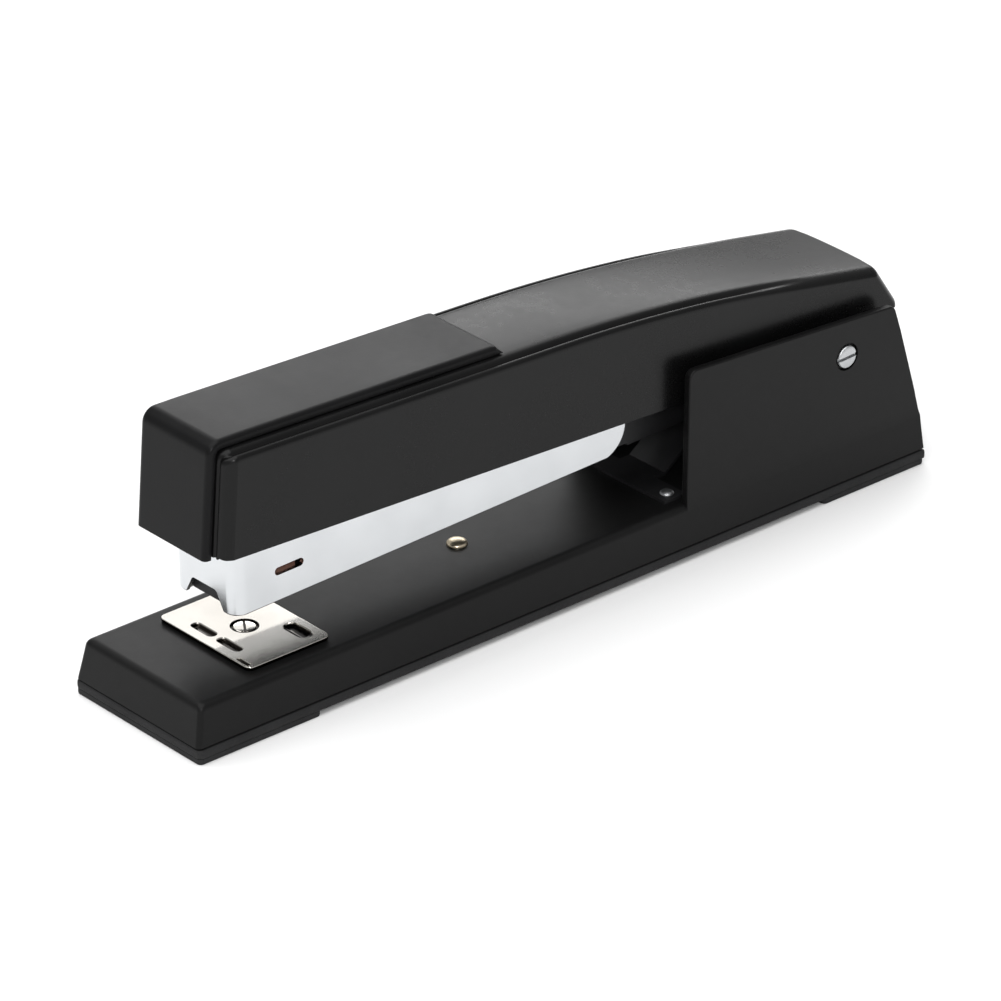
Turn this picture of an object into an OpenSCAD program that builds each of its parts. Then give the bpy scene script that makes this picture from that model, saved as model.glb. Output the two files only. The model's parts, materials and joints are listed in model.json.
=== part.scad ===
// Full-strip desk stapler: sheet-metal handle and base, chrome magazine, turning anvil.
// The nose points to -X, the hinge is towards +X, and +Z is up. The origin is on the table,
// under the middle of the base. Most shapes are drawn from the base's front edge (at_front)
// or from the hinge pin (at_pivot, with +X running back).

/* [Base] */
// Length of the base, front to back
base_len = 198; // [197:1:199]
// Width of the base across its bottom edge
base_w = 39.2; // [38.8:0.2:39.4]
// Width of the base across its top edge
base_top_w = 37; // [36.8:0.1:37.2]
// Height of the base's top face above the table
base_top = 12.5; // [12.3:0.1:12.6]
// Sheet thickness of the base
base_wall = 1.6; // [1.4:0.1:1.8]
// Width of the rubber pad under the base
pad_w = 39.9; // [39.6:0.1:40.4]
// Height of the rubber pad's outer lip
pad_top = 3.2; // [3:0.1:3.3]

/* [Hinge] */
// Distance of the hinge pin behind the base's front edge
pivot_from_front = 175.6; // [175:0.1:176]
// Height of the hinge pin
pivot_z = 32.1; // [31.8:0.1:32.4]
// Radius of the hinge pin
pin_r = 2; // [1.9:0.05:2.1]
// Radial running clearance on the pin
pin_fit = 0.05; // [0.03:0.01:0.08]

/* [Magazine] */
// Outer width of the chrome magazine
mag_w = 19.6; // [19.4:0.1:19.8]
// Length of the magazine from its nose back to the pin
mag_reach = 157.9; // [157.6:0.1:158.2]
// Angle at which the magazine droops towards the anvil at rest, in degrees
mag_droop = 1.1; // [1:0.05:1.2]
// Length of the strip of staples left in the magazine
strip_len = 15.5; // [8:0.5:16]

/* [Handle] */
// Outer width of the handle
handle_w = 28.6; // [28.4:0.1:28.8]
// Sheet thickness of the handle
handle_wall = 1.2; // [1.1:0.05:1.3]
// Angle through which the handle drives a staple, in degrees
drive_angle = 3.9; // [3.8:0.05:3.95]
// Width of the plate over the handle's nose
cap_w = 21.4; // [21:0.1:21.8]
// Thickness of the plate over the handle's nose
cap_t = 1.9; // [1.7:0.1:2]

/* [Anvil] */
// Size of the anvil plate across the base
anvil_w = 28.8; // [28.4:0.1:29.2]
// Size of the anvil plate along the base
anvil_len = 21.2; // [20.8:0.1:21.6]
// Distance of the anvil's post behind the base's front edge
anvil_from_front = 27.8; // [27.6:0.1:28]

/* [Hidden] */
$fn = 64;
hull_fn = 32;
over = 1; // how far a cutter runs past a face
bond = 0.03; // gap between two pieces fixed face to face

// Base
pad_foot = 1.2; // how far the pad's two feet stand down
foot_len = 30.8;
pad_step = 1.3; // width of the pad's lip
plug_in = base_wall + 0.3; // the pad's middle fills the base's rim, this far in from its edge
plug_up = 1.2;
foot_in = 0.3; // the feet stand in from the pad's edge by this much
shell_bottom = 3.6;
base_corner_r = 1.2; // corners of the base in plan
pad_corner_r = 1.4;
hollow_corner_r = 0.6;
edge_drop = 1.3; // height of the rounded top edge of the base
top_inset = 1.8; // the base's front end leans in by this much towards the top
rear_share = 0.25; // and its rear end by this share of it
bay_floor = 9.5; // sunken floor between the cheeks, under the handle's tail
bay_from = 150;
cheek_t = 1.8;
cheek_front = 130.6;
cheek_front_top = 131;
cheek_top_front = 43.2;
cheek_back_top = 189.2;
cheek_top_back = 39.6;
cheek_out = base_top_w / 2;
cheek_in = cheek_out - cheek_t;
stud_x = 83.8;
stud_r = 2.25;
foot_rivet_x = 130.3;
foot_rivet_y = 12.6;
leaf_t = 0.7;
screw_head_r = 2.5;
recess_r = 3.1;
recess_depth = 0.9;
screw_proud = 0.35;
thread_r = 1.5;

// Anvil
anvil_gap = 0.1; // the plate turns this far above the base
anvil_t = 0.9;
anvil_z = base_top + anvil_gap;
anvil_top = anvil_z + anvil_t;
post_r = 2;
post_head_r = 2.3;
ring_r = 3;
button_r = 6.5;
button_z = 1;
boss_r = 3.2;
boss_top = 8.5;
shell_ceiling = base_top - base_wall;

// Magazine, measured from the pin
mag_wall = 1;
mag_bottom = -6.1;
mag_top = 10;
mag_back = -54.6;
mag_corner_r = 3;
mag_floor = mag_bottom + mag_wall;
front_gap = 1.6; // the driver's slot behind the nose
inner_front = -mag_reach + mag_wall + front_gap;
track_half = 7.35;
track_wall = 0.8;
track_top = 5;
track_back = -25.6;
lip_half = 6.3;
lip_t = 0.35;
rail_half = 5.5;
rail_t = 0.8;
rail_top = 2.6;
staple_half = 6.35;
staple_wire = 0.5;
staple_leg = 6.3;
staple_top = rail_top + staple_wire + 0.1;
rail_slot = 2.4;
rod_r = 1.2;
rod_z = -0.7;
stop_t = 3;
pusher_len = 20;
pusher_front = inner_front + strip_len + 0.2;
ring_from = pusher_front + 2;
ring_len = 4;
window_x = -144;
window_len = 7.4;
window_h = 1.8;
window_z = 0.2;
track_open = [-148, -139]; // the track is open beside the window, from here back to here
track_open_z = [-3.4, 1.1];
bracket_half = 8.7;
bracket_t = 1.1;
bracket_front = -70.6;
bridge_x = -66.6; // bridge over the track that the handle's spring bears on
bridge_top = 6.6;
mag_rivets = [-67, -60];
mag_rivet_z = 3.2;
mag_rivet_r = 1;

// Handle, measured from the base's front edge
handle_half = handle_w / 2;
casing_front = 11.4;
casing_corner_r = 3;
lower_front_z = 38.9;
lower_slope = 0.0425;
crown_half = 11.6;
casing_low_r = 1.4; // rounded lower front corner of the side panels
nose_lean = 0.075; // the nose leans back towards its top
cap_back = 85.6;
cap_chamfer = 1.4;
cap_lip = 0.4; // the plate reaches this far below the casing's front
cap_nose_r = 3;
bead_drop = 0.9; // the side panels' bead lies this far below the crown
bend_from = 100;
bend_r = 464;
bend_z = 58.6;
front_slope = 0.04;
back_slope = 0.18;
bend_to = 165;
tail_top_x = 188.9;
tail_x = 195.2;
tail_z = 37.6;
ear_bottom = 26.9;
blade_t = 0.6;
blade_half = 6.2;
blade_x = -mag_reach + mag_wall + 0.5 + blade_t / 2;
blade_low = mag_bottom + 0.2;
blade_high = 15.2;
rivet_z = 12.8;
blade_rivet_y = 3.5;
blade_rivet_r = 0.9;
carrier_low = 6.2; // the leg reaches into the magazine as far as this in a full stroke

// Height of the crown of the handle at a distance behind the base's front edge
function crown(x) =
    x < bend_from ? bend_z + front_slope * (bend_from - x)
    : x < bend_to ? bend_z - front_slope * (x - bend_from) - pow(x - bend_from, 2) / (2 * bend_r)
    : crown(bend_to - 0.001) - back_slope * (x - bend_to);
// Height of the casing's roof inside
function roof(x) = crown(x) - bead_drop - handle_wall;
// Height of the handle's lower edge
function skirt(x) = lower_front_z - lower_slope * (x - casing_front - casing_low_r);
crown_stations = concat([14], [for (x = [bend_from : 5 : bend_to]) x], [tail_top_x]);

// Moves a shape drawn from the base's front edge into place
module at_front() translate([-base_len / 2, 0, 0]) children();
// Moves a shape drawn from the hinge pin into place, turned nose-up by an angle
module at_pivot(angle = 0)
    translate([pivot_from_front - base_len / 2, 0, pivot_z]) rotate([0, angle, 0]) children();
// A flat shape in the X-Z plane, thickened across Y and centred on it
module slab(width) rotate([90, 0, 0]) linear_extrude(width, center = true) children();
// Two such plates, one on each side
module pair_of_plates(inner, thick)
    for (s = [-1, 1]) translate([0, s * (inner + thick / 2), 0]) slab(thick) children();
// A cylinder across the part
module cross_pin(r, len) rotate([90, 0, 0]) cylinder(r = r, h = len, center = true);
// A box between two corners
module block(low, high) translate(low) cube(high - low);
// A plan view with both front corners rounded
module plan(front, back, half, r) {
    translate([front + r, -half]) square([back - front - r, 2 * half]);
    translate([front, -half + r]) square([r + over, 2 * (half - r)]);
    for (s = [-1, 1]) translate([front + r, s * (half - r)]) circle(r);
}
// A slot with round ends along Y, sunk from z downwards
module sunk_slot(y_from, y_to, half, z, depth) translate([0, 0, z - depth]) {
    for (y = [y_from + half, y_to - half]) translate([0, y, 0]) cylinder(r = half, h = depth + over);
    translate([-half, y_from + half, 0]) cube([2 * half, y_to - y_from - 2 * half, depth + over]);
}
// A thin plate with rounded corners, for hulls
module sheet(inset, half, r, z) translate([0, 0, z]) linear_extrude(0.01)
    for (x = [inset + r, base_len - rear_share * inset - r], s = [-1, 1])
        translate([x, s * (half - r)]) circle(r, $fn = hull_fn);
// A coil spring's wire, as a stack of leaning rings would weigh: one thin sleeve
module sleeve(r, wall, len) difference() {
    cylinder(r = r, h = len);
    translate([0, 0, -over]) cylinder(r = r - wall, h = len + 2 * over);
}

module cheek_outline() difference() {
    polygon([
        [cheek_front - 0.2, base_top - 1.5], [cheek_front_top, cheek_top_front],
        [cheek_back_top, cheek_top_back], [base_len - 0.4, base_top - 1.5]
    ]);
    for (c = [[cheek_front_top, cheek_top_front, -1], [cheek_back_top, cheek_top_back, 1]])
        translate([c[0], c[1]]) difference() {
            square(4, center = true);
            translate([-c[2] * 2, -2]) circle(2);
            translate([-c[2] * 7, -5]) square(10, center = true);
            translate([-c[2] * 5, -7]) square(10, center = true);
        }
}

module base_shell() color("#1b1c1e") at_front() difference() {
    union() {
        hull() {
            sheet(0, base_w / 2, base_corner_r, shell_bottom);
            sheet(top_inset - 0.3, base_top_w / 2 + 0.1, base_corner_r, base_top - edge_drop);
            sheet(top_inset, base_top_w / 2 - 0.4, base_corner_r, base_top - 0.4);
            sheet(top_inset + 0.8, base_top_w / 2 - 1.2, base_corner_r, base_top - 0.01);
        }
        pair_of_plates(cheek_in, cheek_t) cheek_outline();
    }
    difference() {
        hull() {
            sheet(base_wall, base_w / 2 - base_wall, hollow_corner_r, shell_bottom - 0.02);
            sheet(top_inset + base_wall, base_top_w / 2 - base_wall, hollow_corner_r, shell_ceiling);
        }
        block([bay_from - base_wall, -base_w, bay_floor - base_wall], [base_len, base_w, base_top]);
    }
    block([bay_from, -cheek_in, bay_floor], [base_len + over, cheek_in, base_top + over]);
    translate([pivot_from_front, 0, pivot_z]) {
        cross_pin(pin_r + 0.02, base_w);
        for (s = [-1, 1]) translate([0, s * (cheek_out - recess_depth + 1), 0]) cross_pin(recess_r, 2);
    }
    translate([anvil_from_front, 0, shell_bottom]) cylinder(r = post_r + 0.3, h = base_top);
    translate([stud_x, 0, shell_bottom]) cylinder(r = 1.5, h = base_top);
    for (s = [-1, 1])
        translate([foot_rivet_x, s * foot_rivet_y, shell_bottom]) cylinder(r = 0.8, h = base_top);
}

module base_pad() color("#3c3c3d") at_front() difference() {
    union() {
        hull() {
            sheet(0, pad_w / 2, pad_corner_r, pad_top - 0.01);
            sheet(0, pad_w / 2, pad_corner_r, pad_foot);
        }
        hull() {
            sheet(pad_step, pad_w / 2 - pad_step, base_corner_r, shell_bottom - 0.01);
            sheet(pad_step, pad_w / 2 - pad_step, base_corner_r, pad_top - 0.1);
        }
        hull() {
            sheet(plug_in, base_w / 2 - plug_in, base_corner_r, shell_bottom + plug_up);
            sheet(plug_in, base_w / 2 - plug_in, base_corner_r, pad_top - 0.1);
        }
        for (x = [foot_in, base_len - foot_in - foot_len])
            block([x, -pad_w / 2 + foot_in, 0], [x + foot_len, pad_w / 2 - foot_in, pad_foot + 0.1]);
    }
    translate([anvil_from_front, 0, -over]) cylinder(r = button_r + 0.5, h = 10);
}

// A domed rivet: head above z = 0, shank and upset end below it
module rivet(head_r, head_h, shank_r, grip, tail_r, tail_h) rotate_extrude() {
    dome_r = (head_r * head_r + head_h * head_h) / (2 * head_h);
    intersection() {
        translate([0, head_h - dome_r]) circle(dome_r);
        square([head_r, head_h]);
    }
    translate([0, -grip]) square([shank_r, grip + 0.01]);
    translate([0, -grip - tail_h]) square([tail_r, tail_h]);
}

module bumper_stud() color("#c9b28a") at_front()
    translate([stud_x, 0, base_top]) rivet(stud_r, 1.2, 1.5, base_wall, 2.2, 0.8);

// Leaf spring on the base: a riveted foot, then an arm that rises towards the magazine's
// carrier and stops ahead of the circle that the handle's tail swings through
module lift_spring() color("#222325") at_front() difference() {
    union() {
        block(
            [foot_rivet_x - 3, -foot_rivet_y - 2.6, base_top],
            [foot_rivet_x + 3, foot_rivet_y + 2.6, base_top + leaf_t]
        );
        slab(11) polygon([
            [foot_rivet_x - 2, base_top], [foot_rivet_x + 6, base_top], [150, 22.6], [155.8, 23.8],
            [155.8, 23.8 + leaf_t], [149.6, 22.6 + leaf_t],
            [foot_rivet_x + 5.8, base_top + leaf_t], [foot_rivet_x - 2, base_top + leaf_t]
        ]);
    }
    for (s = [-1, 1])
        translate([foot_rivet_x, s * foot_rivet_y, base_top - over]) cylinder(r = 0.8, h = 3);
}

module lift_spring_rivets() color("#a9acb0") at_front() for (s = [-1, 1])
    translate([foot_rivet_x, s * foot_rivet_y, base_top + leaf_t])
        rivet(1.5, 0.7, 0.8, base_wall + leaf_t, 1.3, 0.5);

// Slotted head on the near side, a shaft, and a thread for the nut on the far side
module pivot_screw() color("#c8cacc") at_pivot() {
    difference() {
        translate([0, -cheek_out + recess_depth, 0]) rotate([90, 0, 0])
            cylinder(r = screw_head_r, h = recess_depth + screw_proud);
        translate([0, -cheek_out - screw_proud, 0]) rotate([0, -3, 0])
            cube([2 * recess_r, 1.2, 0.7], center = true);
    }
    rotate([90, 0, 0]) translate([0, 0, -cheek_out + recess_depth])
        cylinder(r = pin_r, h = 2 * (cheek_out - recess_depth));
    rotate([-90, 0, 0]) cylinder(r = thread_r, h = cheek_out);
}

module pivot_nut() color("#c8cacc") at_pivot() difference() {
    translate([0, cheek_out - recess_depth, 0]) rotate([-90, 0, 0])
        cylinder(r = screw_head_r, h = recess_depth + screw_proud);
    cross_pin(thread_r, 2 * base_w);
    translate([0, cheek_out + screw_proud, 0]) cube([2 * recess_r, 1.2, 0.7], center = true);
}

module pivot_spacers() color("#9b9ea2") at_pivot() for (s = [-1, 1])
    rotate([-90 * s, 0, 0]) translate([0, 0, handle_half + 0.2])
        sleeve(4, 4 - pin_r - 0.02, cheek_in - handle_half - 0.25);

module anvil_spring() color("#a9acb0") at_front()
    translate([anvil_from_front, 0, button_z + 2.2]) sleeve(4.6, 0.8, shell_ceiling - button_z - 2.3);

module anvil_button() color("#2a2a2b") at_front() translate([anvil_from_front, 0, 0]) difference() {
    union() {
        translate([0, 0, button_z]) cylinder(r = button_r, h = 2);
        translate([0, 0, button_z]) cylinder(r = boss_r + 0.4, h = boss_top - button_z);
    }
    cylinder(r = post_r + pin_fit, h = base_top);
    translate([0, 0, button_z - over]) cylinder(r = 3.1, h = over + 1.2);
}

module anvil_post() color("#d8d5cb") at_front() translate([anvil_from_front, 0, 0]) {
    translate([0, 0, button_z + 0.4]) cylinder(r = post_r, h = anvil_top - button_z - 0.9);
    translate([0, 0, anvil_top - 0.5]) cylinder(r = post_head_r, h = 0.45);
}

module anvil_clip() color("#9b9ea2") at_front()
    translate([anvil_from_front, 0, button_z + 0.5]) sleeve(2.9, 2.9 - post_r, 0.6);

// Turning plate: a narrow pair of pockets clinches, the wide pair pins
module anvil_plate() color("#dedad0") at_front() translate([anvil_from_front, 0, 0]) difference() {
    translate([-anvil_len / 2, 0, anvil_z]) linear_extrude(anvil_t) {
        plan(0, anvil_len / 2 + 0.5, anvil_w / 2, 1.6);
        translate([anvil_len, 0]) mirror([1, 0]) plan(0, anvil_len / 2 + 0.5, anvil_w / 2, 1.6);
    }
    translate([0, 0, anvil_z - over]) cylinder(r = post_r, h = 5);
    translate([0, 0, anvil_top - 0.5]) cylinder(r = ring_r, h = 2);
    for (s = [-1, 1]) {
        translate([-7.1, 0, 0]) sunk_slot(s > 0 ? 0.5 : -7.7, s > 0 ? 7.7 : -0.5, 1.25, anvil_top, 0.5);
        translate([6.9, 0, 0]) sunk_slot(s > 0 ? 4.7 : -12.3, s > 0 ? 12.3 : -4.7, 1.9, anvil_top, 0.5);
        translate([s * 9.5, 0, 0]) sunk_slot(s > 0 ? 9.4 : -13.4, s > 0 ? 13.4 : -9.4, 0.6, anvil_top, 0.4);
    }
}

module at_magazine() at_pivot(-mag_droop) children();

module magazine_outline() difference() {
    polygon([
        [-mag_reach, mag_bottom - 0.5], [-mag_reach + 2.4, mag_bottom - 0.5],
        [-mag_reach + 3.4, mag_bottom], [mag_back, mag_bottom], [mag_back, mag_top], [-mag_reach, mag_top]
    ]);
    translate([mag_back, mag_bottom]) difference() {
        square(14, center = true);
        translate([-7, 7]) circle(7);
        translate([-12, 0]) square([10, 20], center = true);
        translate([0, 12]) square([20, 10], center = true);
    }
}

module window(depth) translate([window_x, 0, window_z]) {
    for (s = [-1, 1]) translate([s * (window_len - window_h) / 2, 0, 0]) cross_pin(window_h / 2, depth);
    cube([window_len - window_h, depth, window_h], center = true);
}

// Chrome U-channel, closed at the nose, with the staple's way out and an arched cut-out
module magazine_shell() color("#dfe2e6") at_magazine() difference() {
    intersection() {
        slab(mag_w) magazine_outline();
        translate([0, 0, -20]) linear_extrude(40) plan(-mag_reach, 0, mag_w / 2, mag_corner_r);
    }
    translate([0, 0, mag_floor]) linear_extrude(20)
        plan(-mag_reach + mag_wall, 0, mag_w / 2 - mag_wall, mag_corner_r - mag_wall);
    block([-mag_reach + mag_wall, -6.6, -20], [inner_front, 6.6, 0]);
    translate([-mag_reach, 0, 0]) rotate([90, 0, 90]) linear_extrude(3, center = true)
        polygon([
            [-7.4, mag_bottom - over], [-3.5, mag_bottom + 3.6],
            [3.5, mag_bottom + 3.6], [7.4, mag_bottom - over]
        ]);
    window(40);
    for (x = mag_rivets) translate([x, 0, mag_rivet_z]) cross_pin(mag_rivet_r, 2 * mag_w);
}

// Guide channel inside the magazine that the staples' legs run in, with a lip at its front
// that hangs down behind the nose's cut-out
module staple_track() color("#2b2c2e") at_magazine() difference() {
    union() {
        block([inner_front, -track_half, mag_floor], [track_back, track_half, track_top]);
        block(
            [inner_front - lip_t, -lip_half, mag_bottom - 0.4],
            [inner_front - bond, lip_half, mag_floor + track_wall]
        );
        block(
            [inner_front - lip_t, -lip_half, mag_floor + bond],
            [inner_front + over, lip_half, mag_floor + track_wall]
        );
    }
    block(
        [inner_front - lip_t, -track_half + track_wall, mag_floor + track_wall],
        [track_back + over, track_half - track_wall, track_top + over]
    );
    block([track_open[0], -mag_w, track_open_z[0]], [track_open[1], mag_w, track_open_z[1]]);
}

// Core that the staples straddle, slotted along its top for the pusher
module staple_rail() color("#c4c7ca") at_magazine() {
    low = mag_floor + track_wall;
    for (s = [-1, 1]) {
        block(
            [inner_front, s > 0 ? rail_half - rail_t : -rail_half, low],
            [track_back - stop_t, s > 0 ? rail_half : -rail_half + rail_t, rail_top]
        );
        block(
            [inner_front, s > 0 ? rail_slot / 2 : -rail_half, rail_top - rail_t],
            [track_back - stop_t, s > 0 ? rail_half : -rail_slot / 2, rail_top]
        );
    }
    difference() {
        block(
            [inner_front, -rail_half + rail_t, low],
            [inner_front + 2, rail_half - rail_t, rail_top - rail_t]
        );
        translate([inner_front - over, 0, rod_z]) rotate([0, 90, 0]) cylinder(r = rod_r, h = 5);
    }
}

// Block at the back of the track that the rod and its spring end in
module rail_stop() color("#4a4c4f") at_magazine() difference() {
    block(
        [track_back - stop_t, -track_half + track_wall, mag_floor + track_wall],
        [track_back, track_half - track_wall, track_top]
    );
    translate([track_back - stop_t - over, 0, rod_z]) rotate([0, 90, 0])
        cylinder(r = rod_r, h = stop_t + 2 * over);
}

module pusher_rod() color("#b2b5b8") at_magazine()
    translate([inner_front, 0, rod_z]) rotate([0, 90, 0]) cylinder(r = rod_r, h = track_back - inner_front);

module pusher_spring() color("#a9acb0") at_magazine()
    translate([ring_from + ring_len + 0.1, 0, rod_z]) rotate([0, 90, 0])
        sleeve(2.4, 0.7, track_back - stop_t - ring_from - ring_len - 0.2);

// Saddle behind the staples, with a web down through the rail's slot to a ring on the rod
module pusher() color("#1f2022") at_magazine() {
    difference() {
        block([pusher_front, -6.3, -3.4], [pusher_front + pusher_len, 6.3, 5.4]);
        block(
            [pusher_front - over, -rail_half - 0.2, -5],
            [pusher_front + pusher_len + over, rail_half + 0.2, rail_top + 0.2]
        );
    }
    difference() {
        union() {
            block([ring_from, -0.9, rod_z], [ring_from + ring_len, 0.9, rail_top + 0.3]);
            translate([ring_from, 0, rod_z]) rotate([0, 90, 0]) cylinder(r = 2.5, h = ring_len);
        }
        translate([ring_from - over, 0, rod_z]) rotate([0, 90, 0])
            cylinder(r = rod_r + pin_fit, h = ring_len + 2 * over);
    }
}

// What is left of a strip of staples, astride the rail
module staple_strip() color("#c98f78") at_magazine() difference() {
    block(
        [inner_front + 0.1, -staple_half, staple_top - staple_leg],
        [inner_front + strip_len + 0.1, staple_half, staple_top]
    );
    block(
        [inner_front - over, -staple_half + staple_wire, -5],
        [inner_front + strip_len + over, staple_half - staple_wire, staple_top - staple_wire]
    );
}

module bracket_outline() difference() {
    union() {
        polygon([
            [bracket_front, mag_floor], [mag_back + 1, mag_floor],
            [-12, mag_floor - 0.9], [4, mag_floor - 0.2], [7.5, 0],
            [4, 6.2], [-20, 6.2], [-26, track_top + 0.6], [bracket_front, track_top + 0.6]
        ]);
        translate([bridge_x, 0]) square([7, bridge_top]);
        circle(7);
    }
    for (x = [-46, -36]) translate([x, 1]) circle(1.7);
}

// Black carrier that joins the magazine to the pin
module magazine_bracket() color("#17181a") at_magazine() difference() {
    union() {
        pair_of_plates(bracket_half - bracket_t, bracket_t) bracket_outline();
        block([mag_back + 2, -bracket_half + 0.5, mag_floor - 0.9], [-12, bracket_half - 0.5, mag_floor]);
        block([bridge_x, -bracket_half, track_top + 0.7], [bridge_x + 7, bracket_half, bridge_top]);
    }
    cross_pin(pin_r + pin_fit, 40);
    for (x = mag_rivets) translate([x, 0, mag_rivet_z]) cross_pin(mag_rivet_r, 2 * mag_w);
}

module magazine_rivets() color("#c4c7ca") at_magazine()
    for (x = mag_rivets, s = [-1, 1]) translate([x, 0, mag_rivet_z]) rotate([-90 * s, 0, 0])
        translate([0, 0, bracket_half - bracket_t])
            cylinder(r = mag_rivet_r, h = mag_w / 2 + 0.3 - bracket_half + bracket_t);

module magazine_bushes() color("#9b9ea2") at_magazine() for (s = [-1, 1])
    rotate([-90 * s, 0, 0]) translate([0, 0, bracket_half])
        sleeve(3.6, 3.6 - pin_r - pin_fit, 11.7 - 0.15 - bracket_half);

// Outline of the handle from the side, its top lowered by drop, drawn in by inset all round
module handle_outline(drop, inset) {
    round_r = casing_low_r - inset;
    function nose(z) = casing_front + inset + nose_lean * (z - lower_front_z);
    polygon(concat(
        [[nose(crown(14) - drop - inset), crown(14) - drop - inset]],
        [for (x = crown_stations) if (x > 14 && x < tail_top_x) [x, crown(x) - drop - inset]],
        [
            [tail_top_x - 0.7 * inset, crown(tail_top_x) - drop - inset],
            [tail_x - 1.2 * inset, tail_z], [tail_x - 1.2 * inset, tail_z - 1.2],
            [pivot_from_front + 6, ear_bottom - (inset > 0 ? over : 0)],
            [pivot_from_front - 6, ear_bottom - (inset > 0 ? over : 0)],
            [pivot_from_front - 13, skirt(pivot_from_front - 13) - (inset > 0 ? over : 0)]
        ],
        [for (a = [270 : -15 : 180])
            [casing_front + casing_low_r + round_r * cos(a),
             lower_front_z + casing_low_r * (1 + sin(a)) - (inset > 0 ? over : 0)]]
    ));
}

// Pressed steel cover: open below, crowned on top, with a bead along each side
module handle_casing() color("#1e1f21") at_front() difference() {
    intersection() {
        union() {
            slab(handle_w) handle_outline(bead_drop, 0);
            slab(2 * crown_half) handle_outline(0, 0);
        }
        linear_extrude(100) plan(casing_front, base_len, handle_half, casing_corner_r);
    }
    slab(handle_w - 2 * handle_wall) handle_outline(bead_drop, handle_wall);
    translate([pivot_from_front, 0, pivot_z]) cross_pin(pin_r + 0.4, base_w);
}

// Plate over the top and front of the nose
module handle_cap() color("#26272a") at_front() slab(cap_w) difference() {
    cap_front = casing_front - cap_t;
    nose_top = casing_front + nose_lean * (crown(14) - lower_front_z);
    top_front = cap_front + nose_lean * (crown(14) + cap_t - lower_front_z);
    polygon([
        [cap_front, lower_front_z - cap_lip], [top_front, crown(14) + cap_t],
        [cap_back, crown(cap_back) + cap_t], [cap_back + cap_chamfer, crown(cap_back)],
        [cap_back + cap_chamfer, crown(cap_back + cap_chamfer) + bond], [nose_top, crown(14) + bond],
        [casing_front - bond, lower_front_z + casing_low_r], [casing_front - bond, lower_front_z - cap_lip]
    ]);
    translate([top_front, crown(14) + cap_t]) difference() {
        square(2 * cap_nose_r, center = true);
        translate([cap_nose_r - 0.1, -cap_nose_r]) circle(cap_nose_r);
        translate([0, -2 * cap_nose_r]) square([4 * cap_nose_r, 2 * cap_nose_r], center = true);
        translate([2 * cap_nose_r, 0]) square([2 * cap_nose_r, 4 * cap_nose_r], center = true);
    }
}

// Steel channel inside the handle that hangs it on the pin
module handle_bracket() color("#5c5f63") at_front() difference() {
    union() {
        pair_of_plates(11.7, handle_half - handle_wall - 11.7) polygon([
            [128, skirt(128) + 1.5], [pivot_from_front - 12, skirt(162) + 0.5],
            [pivot_from_front - 5, ear_bottom + 0.6], [pivot_from_front + 5, ear_bottom + 0.6],
            [pivot_from_front + 12, 35], [pivot_from_front + 8, 43],
            [140, 50], [128, 46]
        ]);
        slab(2 * (handle_half - handle_wall) - 0.2) polygon([
            [138, 43], [168, 41.6], [168, 42.8], [138, 44.2]
        ]);
    }
    translate([pivot_from_front, 0, pivot_z]) cross_pin(pin_r + pin_fit, base_w);
    for (x = [134, 150]) translate([x, 0, 46]) cross_pin(0.9, base_w);
}

// Rivets that hold the bracket inside the casing, set flush in its sides
module handle_rivets() color("#4a4c4f") at_front() for (x = [134, 150], s = [-1, 1])
    translate([x, 0, 46]) rotate([-90 * s, 0, 0]) translate([0, 0, 10.9]) {
        cylinder(r = 1.5, h = 0.8);
        cylinder(r = 0.9, h = handle_half - handle_wall - 10.9);
    }

// Leaf spring under the bracket's web that bears on the magazine
module handle_spring() color("#8e9297") at_front() slab(9) polygon([
    [150, 41.7], [141, 42.1], [127, 39.4], [112.5, 37.6], [107, 38.5],
    [107, 39.2], [112.5, 38.3], [126.8, 40.1], [140.8, 42.8], [150, 42.4]
]);

// Steel foot under the crown, with a leg down to the driver blade
module driver_carrier() color("#74777b") {
    leg_x = blade_x + blade_t / 2;
    at_pivot(drive_angle - mag_droop) difference() {
        block([leg_x, -7, carrier_low], [leg_x + 1.6, 7, carrier_low + 13.5]);
        for (s = [-1, 1]) translate([blade_x, s * blade_rivet_y, rivet_z]) rotate([0, 90, 0])
            cylinder(r = blade_rivet_r, h = 4);
    }
    at_front() slab(16) polygon([
        [20.4, roof(20.4) - 3.4], [23.6, roof(23.6) - 3.4], [24.4, roof(24.4) - 1.4],
        [42, roof(42) - 1.4], [42, roof(42) - bond], [19.6, roof(19.6) - bond], [19.6, roof(19.6) - 2]
    ]);
}

module driver_blade() color("#b4b7bb") at_pivot(drive_angle - mag_droop) difference() {
    block([blade_x - blade_t / 2, -blade_half, blade_low], [blade_x + blade_t / 2, blade_half, blade_high]);
    for (s = [-1, 1]) translate([blade_x - 2, s * blade_rivet_y, rivet_z]) rotate([0, 90, 0])
        cylinder(r = blade_rivet_r, h = 4);
}

module driver_rivets() color("#c4c7ca") at_pivot(drive_angle - mag_droop) for (s = [-1, 1])
    translate([blade_x - blade_t / 2 - 0.4, s * blade_rivet_y, rivet_z]) rotate([0, 90, 0]) {
        cylinder(r = 1.6, h = 0.4);
        cylinder(r = blade_rivet_r, h = blade_t + 2);
    }

base_shell();
base_pad();
bumper_stud();
lift_spring();
lift_spring_rivets();
pivot_screw();
pivot_nut();
pivot_spacers();
anvil_spring();
anvil_button();
anvil_post();
anvil_clip();
anvil_plate();
magazine_shell();
staple_track();
staple_rail();
rail_stop();
pusher_rod();
pusher_spring();
pusher();
staple_strip();
magazine_bracket();
magazine_rivets();
magazine_bushes();
handle_casing();
handle_cap();
handle_bracket();
handle_rivets();
handle_spring();
driver_carrier();
driver_blade();
driver_rivets();
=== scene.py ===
"""Desk stapler in black enamel with a chrome magazine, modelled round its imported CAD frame."""

import json
import math

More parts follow.
